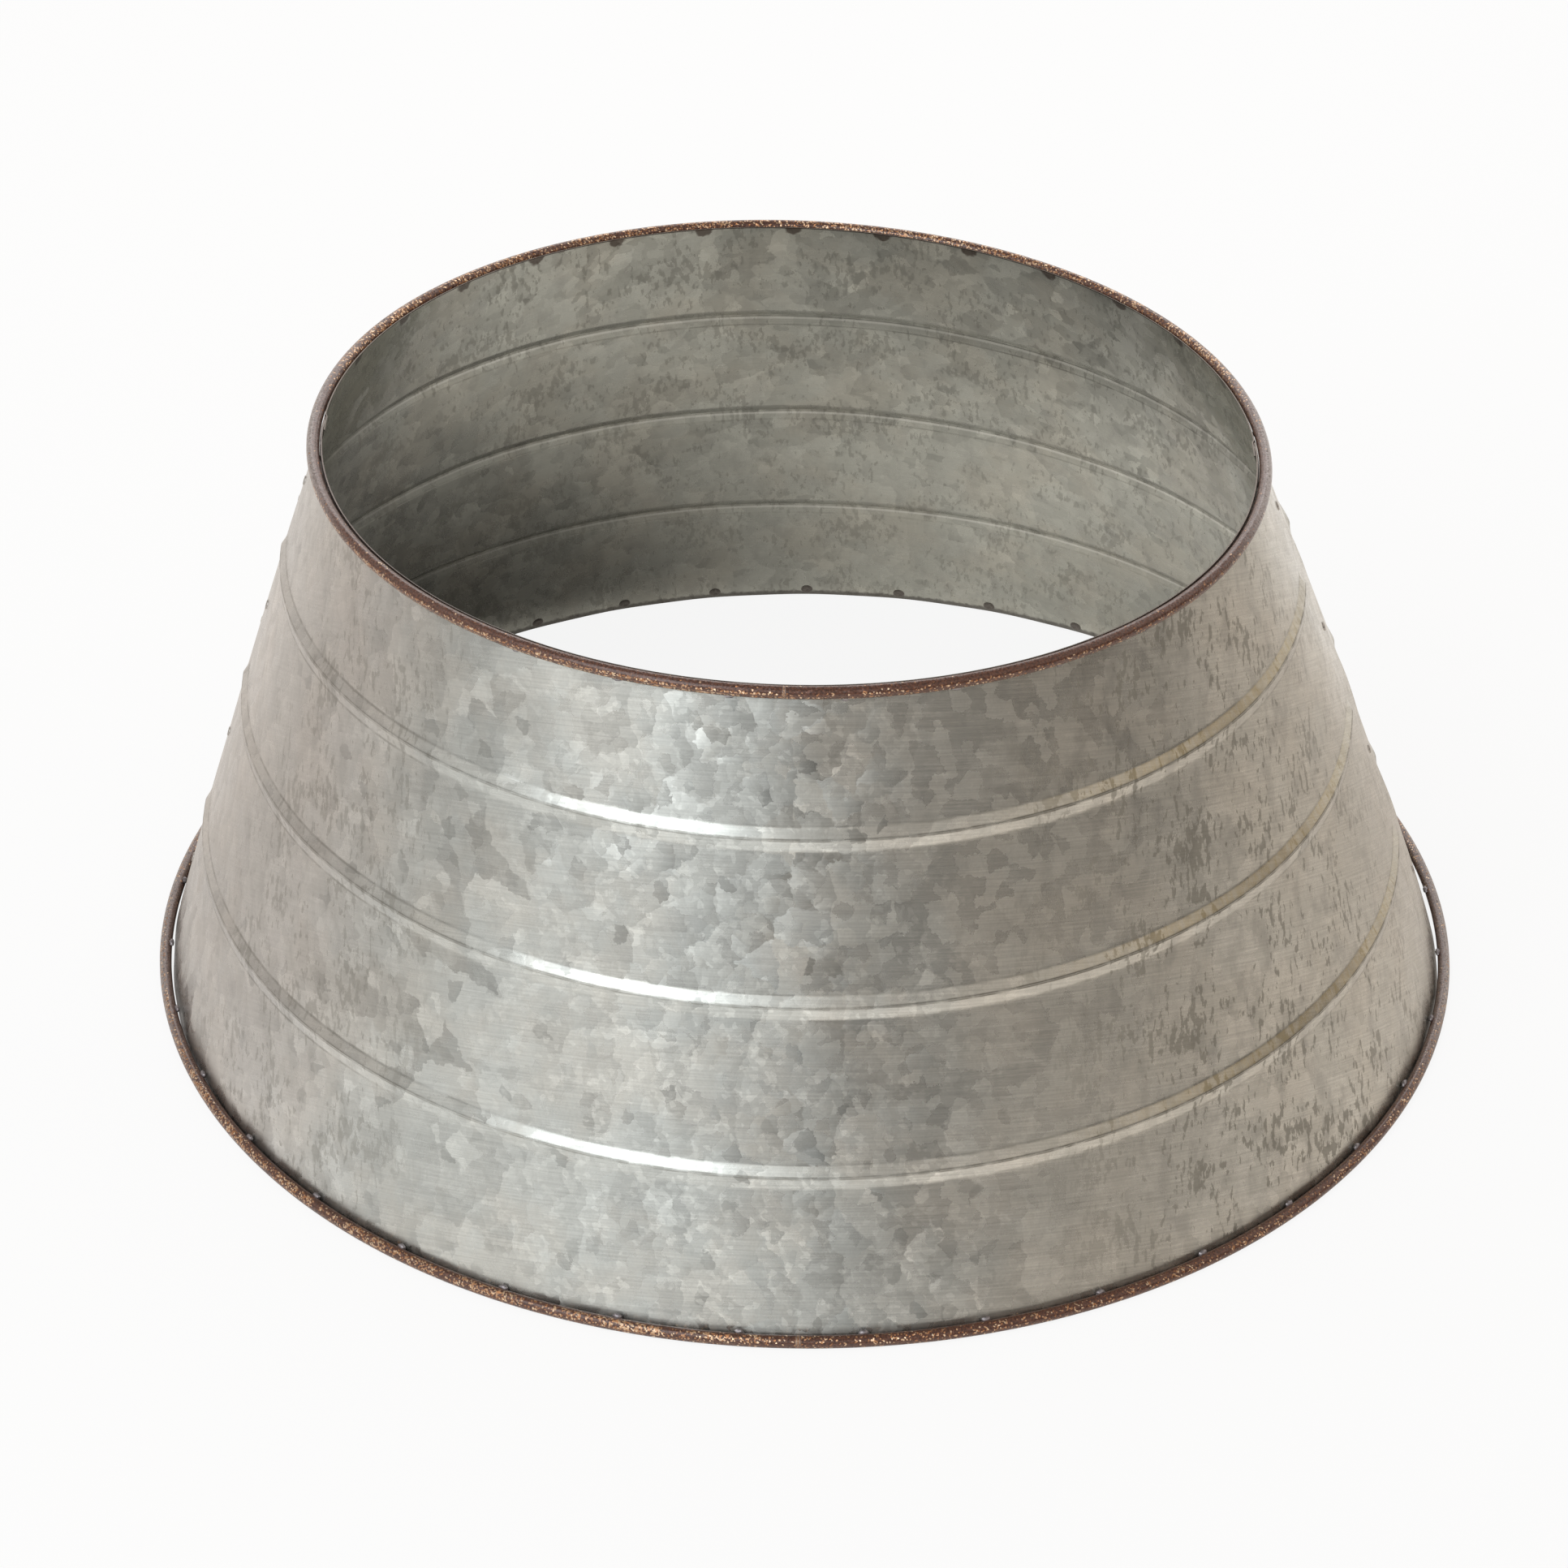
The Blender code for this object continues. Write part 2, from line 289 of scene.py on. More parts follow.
def flat_places(azimuth, along):
    """Places on the flat sheet that the cone was bent from, in metres.

    The flat sheet is a ring sector: distance from its corner r / sin(b), angle a sin(b), with r
    the distance from the cone's axis and b the cone's half angle. Rolled lines are straight there.
    """
    half_angle_sine = -slope[0]
    corner_distance = (sheet_foot[0] + slope[0] * along) / half_angle_sine
    angle = azimuth * half_angle_sine
    return np.stack([corner_distance * np.sin(angle), -corner_distance * np.cos(angle)], -1)


# Pieces


def grid_quads(rows, columns, closed_rows=False, closed_columns=False):
    """Corner numbers of a grid's quads, the rows or the columns joined end to end if closed."""
    r = np.arange(rows if closed_rows else rows - 1)
    c = np.arange(columns if closed_columns else columns - 1)
    r, c = (g.ravel() for g in np.meshgrid(r, c, indexing="ij"))
    up, over = (r + 1) % rows, (c + 1) % columns
    return np.stack([r * columns + c, r * columns + over, up * columns + over, up * columns + c], 1)


def enclosed(points, faces):
    """Six times the signed volume under faces: the sum of a . (b x c) over fans of triangles."""
    total = 0.0
    for i in range(1, faces.shape[1] - 1):
        a, b, c = points[faces[:, 0]], points[faces[:, i]], points[faces[:, i + 1]]
        total += (a * np.cross(b, c)).sum()
    return total


def add_piece(name, points, faces, materials, maps=None, second=None):
    """Piece from points and lists of equal-sided faces, turned to face outwards.

    maps are named maps with a pair of values per point, and second tells which faces of the first
    list take the second material.
    """
    points = as_built(points)
    if sum(enclosed(points, part) for part in faces) < 0:
        faces = [part[:, ::-1] for part in faces]
    mesh = bpy.data.meshes.new(name)
    mesh.from_pydata(points.tolist(), [], [face for part in faces for face in part.tolist()])
    corners = np.empty(len(mesh.loops), dtype=np.int32)
    mesh.loops.foreach_get("vertex_index", corners)
    for map_name, values in (maps or {}).items():
        layer = mesh.uv_layers.new(name=map_name)
        layer.data.foreach_set("uv", values[corners].astype(np.float32).ravel())
    for material in materials:
        mesh.materials.append(material)
    if second is not None:
        chosen = np.zeros(len(mesh.polygons), dtype=np.int32)
        chosen[:len(second)] = second
        mesh.polygons.foreach_set("material_index", chosen)
    mesh.shade_smooth()
    mesh.set_sharp_from_angle(angle=math.radians(40))
    piece = bpy.data.objects.new(name, mesh)
    bpy.context.collection.objects.link(piece)
    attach(piece, "root")
    return piece


def sheet_rows():
    """Places up the slope: close together over each bead, wider on the plain bands."""
    over_bead = np.array([0, 0.07, 0.16, 0.3, 0.55, 0.78, 0.9, 0.98, 1.06, 1.16, 1.32, 1.6])
    over_bead = np.concatenate([-over_bead[:0:-1], over_bead]) * bead_half_width
    rows = (bead_places[:, None] + over_bead).ravel()
    plain = np.linspace(floor_clearance, edge_length, 36)
    near = np.abs(plain[:, None] - bead_places).min(1)
    edge = np.array([1.5, 3.5, 6.0]) * MM
    plain = plain[near > 1.9 * bead_half_width]
    return np.unique(np.concatenate([rows, plain, edge, edge_length - edge]))


def end_faces(rows, columns):
    """Faces that close a sheet at its first and last column: four-sided ones and two tips each.

    Its section runs up the outer face's rows, over a point on the top edge, down the inner face's
    rows and round a point on the bottom edge.
    """
    count = 2 * rows + 2
    ladder = np.arange(rows - 1)
    rungs = np.stack([ladder, ladder + 1, count - 3 - ladder, count - 2 - ladder], 1)
    tips = np.array([[rows - 1, rows, rows + 1], [count - 2, count - 1, 0]])
    return [np.concatenate([part * columns, part[:, ::-1] * columns + columns - 1])
            for part in (rungs, tips)]


def add_sheet(name, node, back, materials):
    """Half-round sheet: its closed section of two faces and two rounded edges, carried round.

    Lengths from the panel's end are measured at the seam's mean radius. The lap is flat, the back
    panel's lap lies inside and steps back out over the joggle, and then the beads rise.
    """
    middle, weld_count = (math.pi, top_welds[1]) if back else (0.0, top_welds[0])
    reach = math.pi / 2 + lap_width / 2 / seam_radius
    fine = np.linspace(0.0, 3 * lap_width, 33) / seam_radius
    turn = np.unique(np.concatenate([np.linspace(-reach, reach, 331), reach - fine, fine - reach]))
    rows = sheet_rows()
    azimuth, along = np.meshgrid(middle + turn, rows)
    from_end = (reach - np.abs(azimuth - middle)) * seam_radius
    flat_end = lap_width + joggle_length
    pull = edge_pull(azimuth, along)
    out = sheet_waves(azimuth, along)
    out = out + top_press * np.exp(-(edge_length - along) / top_press_reach)
    if back:
        bead_end = back_bead_end
        inset = (sheet_thickness + lap_gap) * (1 - smooth_step(from_end, lap_width, flat_end))
        pull = pull + inset / outward[0]
    else:
        bead_end = np.where(azimuth < 0, left_bead_end, flat_end)
        out = out + seam_bow(azimuth, from_end, along)
    rise_share = smooth_step(from_end, bead_end, bead_end + bead_run_out)
    out = out + bead_rise(along) * rise_share

    # The rounded edges are one point each, a little past the two faces
    edge_shift = -sheet_thickness * outward[1] / slope[1]
    half = sheet_thickness / 2
    outer = cone_points(azimuth, along, out, pull)
    inner = cone_points(azimuth, along - edge_shift, out - sheet_thickness, pull)
    edges = [cone_points(azimuth[row], along[row] + past * half - edge_shift / 2, out[row] - half,
                         pull[row])[None] for row, past in ((-1, 0.3), (0, -0.3))]
    points = np.concatenate([outer, edges[0], inner[::-1], edges[1]])

    # Maps, the same on both faces: the place on the flat sheet, the place on the cone, the turns
    # from weld to weld of the top ring, and the distance from the nearest bead's crest with the
    # side on which that lies, which runs to 0 where the bead fades out
    flat = flat_places(azimuth - middle, along) + (back_map_shift if back else (0.0, 0.0))
    turns = ((azimuth - middle) / math.pi + 0.5) * weld_count
    from_bead = along[..., None] - bead_places
    nearest = np.take_along_axis(from_bead, np.abs(from_bead).argmin(-1)[..., None], -1)[..., 0]
    maps = {"flat_sheet": flat, "wall": np.stack([azimuth, along], -1),
            "weld_turns": np.stack([turns, np.zeros_like(turns)], -1),
            "bead": np.stack([np.abs(nearest), np.sign(nearest) * rise_share], -1)}
    maps = {key: np.concatenate([face, face[-1:], face[::-1], face[:1]])
            for key, face in maps.items()}
    maps["flat_sheet"][len(rows) + 1:-1] += inner_map_shift

    count, columns = points.shape[:2]
    quads = grid_quads(count, columns, closed_rows=True)
    inside = np.repeat((np.arange(count) > len(rows)) & (np.arange(count) < count - 2), columns - 1)
    piece = add_piece(
        name, points.reshape(-1, 3), [quads, *end_faces(len(rows), columns)], materials,
        {key: values.reshape(-1, 2) for key, values in maps.items()}, inside)
    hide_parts(node)


def add_wire(name, node, centre, material):
    """Wire ring: a circle of the wire's radius round (R, z), turned about the axis, whose radius
    wavers a little with the azimuth and the angle round the wire, as brushed lacquer does."""
    turn = np.linspace(0.0, 2 * math.pi, 720, endpoint=False)
    around = np.linspace(0.0, 2 * math.pi, 28, endpoint=False)
    azimuth, angle = np.meshgrid(turn, around)
    waver = 1 + np.sin(61 * azimuth + 2 * angle) * np.sin(47 * azimuth)
    skin = wire_radius - lacquer_waver * waver
    points = round_axis(centre[0] + skin * np.cos(angle), centre[1] + skin * np.sin(angle), azimuth)
    flat = np.stack([azimuth * centre[0], angle * wire_radius], -1)
    quads = grid_quads(len(around), len(turn), closed_rows=True, closed_columns=True)
    piece = add_piece(name, points.reshape(-1, 3), [quads], [material],
                      {"flat_sheet": flat.reshape(-1, 2)})
    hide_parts(node)


def add_round_bodies(name, bodies, spokes, material):
    """Piece of equal closed bodies, each of rows of points all round and then its two ends."""
    size = len(bodies[0])
    rows = (size - 2) // spokes
    rim = np.arange(spokes)
    over = (rim + 1) % spokes
    far = (rows - 1) * spokes
    tips = np.concatenate([
        np.stack([np.full(spokes, size - 2), over, rim], 1),
        np.stack([np.full(spokes, size - 1), far + rim, far + over], 1)])
    starts = size * np.arange(len(bodies))[:, None, None]
    faces = [(part + starts).reshape(-1, part.shape[1])
             for part in (grid_quads(rows, spokes, closed_columns=True), tips)]
    return add_piece(name, np.concatenate(bodies), faces, [material])


def add_marks(name, places, profile, material, inner=False):
    """Round marks on the sheet: a profile of (radius, height) turned about each (azimuth, along).

    The profile starts and ends on the mark's axis, where its points meet, so each mark is closed.
    """
    spokes = 20
    spoke = np.linspace(0.0, 2 * math.pi, spokes, endpoint=False)
    radius, lift = profile.T[..., None]
    bodies = []
    for azimuth, along in places:
        at_radius = sheet_foot[0] + slope[0] * along
        turned = azimuth + radius * np.cos(spoke) / at_radius
        up = along + radius * np.sin(spoke)
        face = sheet_waves(turned, up) + bead_rise(up)
        out = face - sheet_thickness - lift if inner else face + lift
        points = cone_points(turned, up, out, edge_pull(turned, up))
        bodies.append(np.concatenate([points[1:-1].reshape(-1, 3), points[[0, -1], 0]]))
    return add_round_bodies(name, bodies, spokes, material)


def add_groove_welds(name, centre, counts, side, material):
    """Small weld nuggets between a ring and the sheet, above the wire (side 1) or below it (-1).

    Each is a ball with radii for the three directions, its radius wavering with the angle, at a
    place on the circle round the wire that runs between the wire and the sheet.
    """
    rows, spokes = 7, 12
    tall, turn = np.meshgrid(np.linspace(0, math.pi, rows + 2)[1:-1],
                             np.linspace(0, 2 * math.pi, spokes, endpoint=False), indexing="ij")
    ball = np.stack([np.sin(tall) * np.cos(turn), np.sin(tall) * np.sin(turn), np.cos(tall)], -1)
    ball = np.concatenate([ball.reshape(-1, 3), [[0, 0, 1], [0, 0, -1]]])
    lean = side * nugget_angle
    direction = slope * math.sin(lean) - outward * math.cos(lean)
    spot = centre + direction * (wire_radius + nugget_clearance)
    bodies = []
    for number, azimuth in enumerate(weld_azimuths(counts)):
        waver = 1 + 0.16 * np.sin(9.3 * ball[:, 0] + 2.3 * number) * np.cos(
            7.0 * ball[:, 2] + 1.7 * number)
        along, across, up = (ball * waver[:, None] * nugget_radii).T
        distance = spot[0] + across * outward[0] + up * slope[0]
        level = spot[1] + across * outward[1] + up * slope[1]
        bodies.append(round_axis(distance, level, azimuth + along / spot[0]))
    add_round_bodies(name, bodies, spokes, material)


# Nodes


def srgb(code):
    """Linear colour of an sRGB hex code."""
    parts = [int(code[i:i + 2], 16) / 255 for i in (1, 3, 5)]
    return (*[c / 12.92 if c <= 0.04045 else ((c + 0.055) / 1.055) ** 2.4 for c in parts], 1.0)


# What the word after a node's kind sets
main_settings = {
    "Math": "operation", "VectorMath": "operation", "Mix": "data_type",
    "MapRange": "interpolation_type", "TexNoise": "noise_dimensions",
    "TexVoronoi": "voronoi_dimensions", "VectorRotate": "rotation_type", "UVMap": "uv_map"}


def add_node(tree, kind, *values, output=None, **named):
    """Output of a new node: the one asked for, or the only one in use, or a list of those in use.

    A word after the kind is the node's main setting. Values go to the inputs in use in their
    order, or by name (base_color for Base Color). Each is a number, a vector, a colour or
    another node's output.
    """
    kind, _, setting = kind.partition(" ")
    made = tree.nodes.new("ShaderNode" + kind)
    if setting:
        setattr(made, main_settings[kind], setting)
    links = [*zip([socket for socket in made.inputs if socket.enabled], values)]
    links += [(made.inputs[name.replace("_", " ").title()], named[name]) for name in named]
    for socket, value in links:
        if isinstance(value, bpy.types.NodeSocket):
            tree.links.new(value, socket)
        else:
            socket.default_value = value
    if output:
        return made.outputs[output]
    outputs = [socket for socket in made.outputs if socket.enabled]
    return outputs[0] if len(outputs) == 1 else outputs


def level_table(node, place, rows):
    """Up to four values read from rows of (place from 0 to 1, values...), even between rows."""
    colour, last = node("ValToRGB", place)
    stops = colour.node.color_ramp.elements
    while len(stops) < len(rows):
        stops.new(0.5)
    for stop, (position, *values) in zip(stops, rows):
        stop.position = position
        stop.color = (*values, *[0.0] * (4 - len(values)))
    return *node("SeparateColor", colour), last


# Studio


def add_camera():
    """Camera at the photograph's place and angle."""
    ahead = Vector((
        math.sin(camera_yaw) * math.cos(camera_pitch),
        math.cos(camera_yaw) * math.cos(camera_pitch),
        -math.sin(camera_pitch)))
    side = Vector((math.cos(camera_yaw), -math.sin(camera_yaw), 0.0))
    up = side.cross(ahead)
    right = side * math.cos(camera_roll) + up * math.sin(camera_roll)
    up = up * math.cos(camera_roll) - side * math.sin(camera_roll)
    turned = Matrix((right, up, -ahead)).transposed().to_4x4()
    camera = bpy.data.cameras.new("camera")
    camera.sensor_width = sensor_width
    camera.lens = sensor_width * focal_pixels / photo_width
    item = bpy.data.objects.new("camera", camera)
    item.matrix_world = Matrix.Translation(camera_place) @ turned
    bpy.context.collection.objects.link(item)
    bpy.context.scene.camera = item


def add_softbox(name, azimuth, elevation, distance, width, tall, radiance, colour):
    """Square lamp aimed at the collar; its power is radiance x pi x area."""
    lamp = bpy.data.lights.new(name, "AREA")
    lamp.shape = "RECTANGLE"
    lamp.size = width
    lamp.size_y = tall
    lamp.energy = radiance * math.pi * width * tall
    lamp.color = srgb(colour)[:3]
    azimuth, elevation = math.radians(azimuth), math.radians(elevation)
    direction = Vector((
        math.sin(azimuth) * math.cos(elevation),
        -math.cos(azimuth) * math.cos(elevation),
        math.sin(elevation)))
    item = bpy.data.objects.new(name, lamp)
    target = Vector((0.0, 0.0, height / 2))
    item.location = target + direction * distance
    item.rotation_euler = direction.to_track_quat("Z", "Y").to_euler()
    bpy.context.collection.objects.link(item)


def studio_table(node, x, y):
    """Low wall, high wall, warmth and floor of the studio, in the azimuth of a place."""
    azimuth = node("Math ARCTAN2", x, node("Math MULTIPLY", y, -1.0))
    turn = node("Math MULTIPLY_ADD", azimuth, 0.5 / math.pi, 0.5)
    return level_table(node, turn, [(row[0] / 360 + 0.5, *row[1:]) for row in studio_levels])


def add_world():
    """Studio walls, lit for the photograph's reflections. The camera sees them white."""
    world = bpy.data.worlds.new("studio")
    bpy.context.scene.world = world
    world.use_nodes = True
    world.node_tree.nodes.clear()
    node = partial(add_node, world.node_tree)
    x, y, z = node("SeparateXYZ", node("TexCoord", output="Generated"))
    low, high, warmth, _ = studio_table(node, x, y)
    level = node("Mix FLOAT", node("MapRange SMOOTHSTEP", z, 0.2, 0.55), low, high)
    level = node("Mix FLOAT", node("MapRange SMOOTHSTEP", z, 0.76, 0.9), level, overhead_level)
    camera_ray = node("LightPath", output="Is Camera Ray")
    tint = node("Mix RGBA", warmth, srgb("#FBFDFF"), srgb("#FFE8D0"))
    tint = node("Mix RGBA", camera_ray, tint, srgb("#FFFEFB"))
    level = node("Mix FLOAT", camera_ray, level, 1.0)
    node("OutputWorld", node("Background", tint, level))


def add_floor():
    """Pale floor that keeps a soft shadow.

    The metal mirrors it with levels of its own: inside the collar it is dim, most of all close
    to the wall, and the light that comes over the left wall falls only at the back right.
    """
    material, node = new_material("studio_floor")
    matt = node("BsdfDiffuse", srgb("#F4F3F1"))
    spot = node("TexCoord", output="Object")
    x, y, _ = node("SeparateXYZ", spot)
    distance = node("VectorMath LENGTH", spot)
    outside = node("MapRange SMOOTHSTEP", distance, base_radius * 0.92, base_radius * 1.05)
    across = node("Math MULTIPLY_ADD", x, 0.5 / base_radius, 0.5)
    inner = level_table(node, across, inner_floor_levels)[0]
    inner = node("Math MULTIPLY", inner, node("MapRange SMOOTHSTEP", y, -0.05, 0.15, 0.35, 1.0))
    inner = node("Math MULTIPLY", inner,
                 node("MapRange SMOOTHSTEP", distance, 0.2, 0.31, 1.0, 0.66))
    _, _, warmth, outer = studio_table(node, x, y)
    level = node("Mix FLOAT", outside, inner, outer)
    mirrored = node("Math MAXIMUM", node("LightPath", output="Is Glossy Ray"),
                    node("LightPath", output="Is Transmission Ray"))
    tint = node("Mix RGBA", warmth, srgb("#FFFFFF"), srgb("#FFEAD6"))
    tint = node("Mix RGBA", mirrored, srgb("#FFFFFF"), tint)
    bright = node("Emission", tint, node("Mix FLOAT", mirrored, 1.0, level))
    camera_ray = node("LightPath", output="Is Camera Ray")
    seen = node("Math MULTIPLY_ADD", camera_ray, 0.88, mirrored)
    node("OutputMaterial", node("MixShader", seen, matt, bright))
    w = floor_half_width
    mesh = bpy.data.meshes.new("floor")
    mesh.from_pydata([(-w, -w, 0.0), (w, -w, 0.0), (w, w, 0.0), (-w, w, 0.0)], [], [(0, 1, 2, 3)])
    mesh.materials.append(material)
    floor = bpy.data.objects.new("floor", mesh)
    bpy.context.collection.objects.link(floor)


# Materials


def new_material(name):
    """Material with an empty tree, and the call that adds a node to it."""
    material = bpy.data.materials.new(name)
    material.use_nodes = True
    material.node_tree.nodes.clear()
    return material, partial(add_node, material.node_tree)


def ragged_shift(node, place, grain, most):
    """Sideways shift by noise of a grain, up to about half of most either way."""
    colour = node("TexNoise 2D", place, 1 / grain, 4.0, 0.6, output="Color")
    return node("VectorMath MULTIPLY_ADD", colour, (most, most, 0.0), (-most / 2, -most / 2, 0.0))


def by_side(node, azimuth, left, middle, right, edges):
    """Value that is left, middle or right by the azimuth, with four edges in degrees."""
    edges = [math.radians(edge) for edge in edges]
    first = node("MapRange SMOOTHSTEP", azimuth, edges[0], edges[1], left - middle, 0.0)
    second = node("MapRange SMOOTHSTEP", azimuth, edges[2], edges[3], 0.0, right - middle)
    return node("Math ADD", node("Math ADD", first, second), middle)


def zinc_strengths(node, azimuth, along, inside):
    """How strongly the zinc's crystals, flecks, dull marks, rolled lines and grain show."""
    if inside:
        return 0.75, 0.2, 0.5, 0.12, 0.09
    ahead = node("Math MULTIPLY", by_side(node, azimuth, 0.0, 1.0, 0.0, (-22, -8, 6, 18)),
                 node("MapRange SMOOTHSTEP", along, 0.05, 0.24, 0.35, 1.0))
    crystals = node("Math MULTIPLY_ADD", ahead, 0.9,
                    by_side(node, azimuth, 0.7, 1.0, 0.22, (-62, -38, 6, 24)))
    behind = node("MapRange SMOOTHSTEP", azimuth, 1.7, 2.2, 0.0, 0.5)
    crystals = node("Math ADD", crystals, behind)
    flecks = by_side(node, azimuth, 0.2, 1.6, 0.3, (-40, -12, 6, 26))
    marks = node("Math MULTIPLY", by_side(node, azimuth, 0.5, 0.08, 0.95, (-44, -32, 16, 40)),
                 by_side(node, azimuth, 0.3, 1.0, 0.4, (-74, -60, 64, 80)))
    lines = by_side(node, azimuth, 0.16, 0.36, 0.45, (-50, -30, -4, 16))
    grain = by_side(node, azimuth, 0.12, 0.18, 0.2, (-40, -10, 10, 30))
    return crystals, flecks, marks, lines, grain


def zinc_cells(node, place, size, tone_spread, slant, tilt_spread, curve):
    """Crystals of a size: their tone, their tilt, a random colour and the middle of each.

    The tone is a grey about 0, random for each and lighter towards its left and upper edge, a
    painted sheen of the light that each crystal catches on that side. The tilt, as (rightwards,
    upwards), is random for each too, plus a bend from its middle.
    """
    _, random, middle = node("TexVoronoi 2D", place, 1 / size)
    away = node("VectorMath SUBTRACT", place, middle)
    share, _, _ = node("SeparateXYZ", random)
    tone = node("Math ADD", node("Math MULTIPLY_ADD", share, tone_spread, -tone_spread / 2),
                node("VectorMath DOT_PRODUCT", away, (-slant, 0.6 * slant, 0.0)))
    tilt = node("VectorMath MULTIPLY_ADD", node("VectorMath SUBTRACT", random, (0.5, 0.5, 0.5)),
                (tilt_spread, tilt_spread, 0.0), node("VectorMath SCALE", away, curve))
    return tone, tilt, random, middle


def zinc_crystals(node, flat, fringe):
    """Broad zinc crystals with ragged edges, and among them islands of small ones, a few dark.

    Gives their tone and tilt, a feather pattern that runs in each broad crystal's own direction,
    and a number that is random for each small one.
    """
    drift = ragged_shift(node, flat, *crystal_drift)
    ragged_flat = node("VectorMath ADD", flat, node("VectorMath ADD", drift, fringe))
    tone, tilt, random, middle = zinc_cells(node, ragged_flat, broad_crystal, 0.14, 4.5, 0.1, 1.0)
    small_tone, small_tilt, small_random, _ = zinc_cells(
        node, ragged_flat, small_crystal, 0.16, 9.0, 0.08, 2.0)
    _, number, pick = node("SeparateXYZ", small_random)
    island = node("Math GREATER_THAN", pick, 0.6)
    dark = node("Math GREATER_THAN", pick, 0.94)
    tone = node("Math MULTIPLY_ADD", small_tone, island, tone)
    tone = node("Math MULTIPLY_ADD", dark, -0.13, tone)
    tilt = node("VectorMath ADD", tilt, node("VectorMath SCALE", small_tilt, island))

    _, _, turn = node("SeparateXYZ", random)
    turn = node("Math MULTIPLY", turn, 2 * math.pi)
    place = node("VectorMath SUBTRACT", flat, middle)
    place = node("VectorRotate Z_AXIS", place, (0.0, 0.0, 0.0), turn)
    place = node("VectorMath DIVIDE", place, (*feather, 1.0))
    return tone, tilt, node("TexNoise 2D", place, 1.0, 3.0, output="Fac"), number


def light_flecks(node, flat, fringe):
    """Light flecks in groups, with straight edges."""
    place = node("VectorMath ADD", flat, fringe)
    pick, depth, _ = node("SeparateXYZ", node("TexVoronoi 2D", place, 1 / fleck, output="Color"))
    group = node("TexNoise 2D", flat, 1 / fleck_group, 3.0, output="Fac")
    chosen = node("Math LESS_THAN", pick, node("MapRange SMOOTHSTEP", group, 0.42, 0.62, 0.04, 0.5))
    return node("Math MULTIPLY", chosen, node("Math MULTIPLY_ADD", depth, 0.12, 0.02))


def dull_marks(node, flat, base, strength):
    """Base with short streaks along the cone and soft darker patches.

    Gives the streaks' share and the noise that they come from, too.
    """
    noise = node("VectorMath DIVIDE", flat, (*streak, 1.0))
    noise = node("TexNoise 2D", noise, 1.0, 4.0, 0.62, output="Fac")
    group = node("TexNoise 2D", flat, 1 / streak_group, output="Fac")
    mark = node("Math MULTIPLY_ADD", group, 0.6, noise)
    mark = node("MapRange SMOOTHSTEP", mark, 0.89, 0.95, 0.0, 0.6)
    mark = node("Math MULTIPLY", mark, strength)
    patch = node("VectorMath DIVIDE", flat, (*dull_patch, 1.0))
    patch = node("TexNoise 2D", patch, 1.0, 4.0, 0.6, output="Fac")
    patch = node("MapRange SMOOTHSTEP", patch, 0.46, 0.7, 0.0, 0.4)
    patch = node("Math MULTIPLY", patch, strength)
    base = node("Mix RGBA", patch, base, srgb("#8E8C86"))
    return node("Mix RGBA", mark, base, srgb("#77746A")), mark, noise


def zinc_colour(node, azimuth, cloud, inside):
    """Grey of the bare zinc, aged in clouds and outside a little warmer at both sides."""
    fresh, aged = ("#BABBB0", "#BFB8A7") if inside else ("#BABCB7", "#BFB8AC")
    age = node("MapRange SMOOTHSTEP", cloud, 0.4, 0.65, 0.0, 0.3)
    base = node("Mix RGBA", age, srgb(fresh), srgb(aged))
    if not inside:
        left = by_side(node, azimuth, 0.5, 0.0, 0.0, (-60, -34, 4, 30))
        right = by_side(node, azimuth, 0.0, 0.0, 0.5, (-60, -30, 4, 30))
        base = node("Mix RGBA", left, base, srgb("#BEB6B1"))
        base = node("Mix RGBA", right, base, srgb("#BDB6A8"))
    return base


def bead_shade_lines(node, flat, azimuth, from_crest, inside):
    """Dark broken lines along the beads' crests and feet: painted shade."""
    foot_depth, crest_depth = 0.2, 0.5
    if not inside:
        foot_depth = by_side(node, azimuth, 0.4, 0.08, 0.3, (-50, -32, 4, 18))
        crest_depth = by_side(node, azimuth, 0.6, 0.55, 0.95, (-50, -32, 4, 26))
    crest = node("MapRange SMOOTHSTEP", from_crest, 0.35 * MM, 1.1 * MM, 1.0, 0.0)
    from_foot = node("Math ABSOLUTE", node("Math SUBTRACT", from_crest, bead_half_width))
    foot = node("MapRange SMOOTHSTEP", from_foot, 0.2 * MM, 0.9 * MM, 1.0, 0.0)
    line = node("Math MAXIMUM", node("Math MULTIPLY", crest, crest_depth),
                node("Math MULTIPLY", foot, foot_depth))
    breaks = node("TexNoise 2D", flat, 1 / line_break, 3.0, output="Fac")
    return node("Math MULTIPLY", line, node("MapRange SMOOTHSTEP", breaks, 0.35, 0.6, 0.35, 1.0))


def golden_flank_reflection(node, azimuth, upper_flank, noise):
    """Painted reflection: gold on the beads' upper flanks, to the right of the front, in streaks.
    """
    golden = upper_flank
    for part in (node("MapRange SMOOTHSTEP", azimuth, 0.3, 0.8, 0.0, 0.5),
                 node("MapRange SMOOTHSTEP", azimuth, 1.2, 1.6, 1.0, 0.0),
                 node("MapRange SMOOTHSTEP", noise, 0.3, 0.7, 0.45, 1.0)):
        golden = node("Math MULTIPLY", golden, part)
    return golden


def under_crest_highlights(node, from_crest, below):
    """Painted highlights: pale lines close under the beads' crests."""
    rise = node("MapRange SMOOTHSTEP", from_crest, 0.9 * MM, 1.4 * MM, 0.0, 0.45)
    fall = node("MapRange SMOOTHSTEP", from_crest, 1.7 * MM, 2.6 * MM, 1.0, 0.0)
    return node("Math MULTIPLY", node("Math MULTIPLY", rise, fall), below)


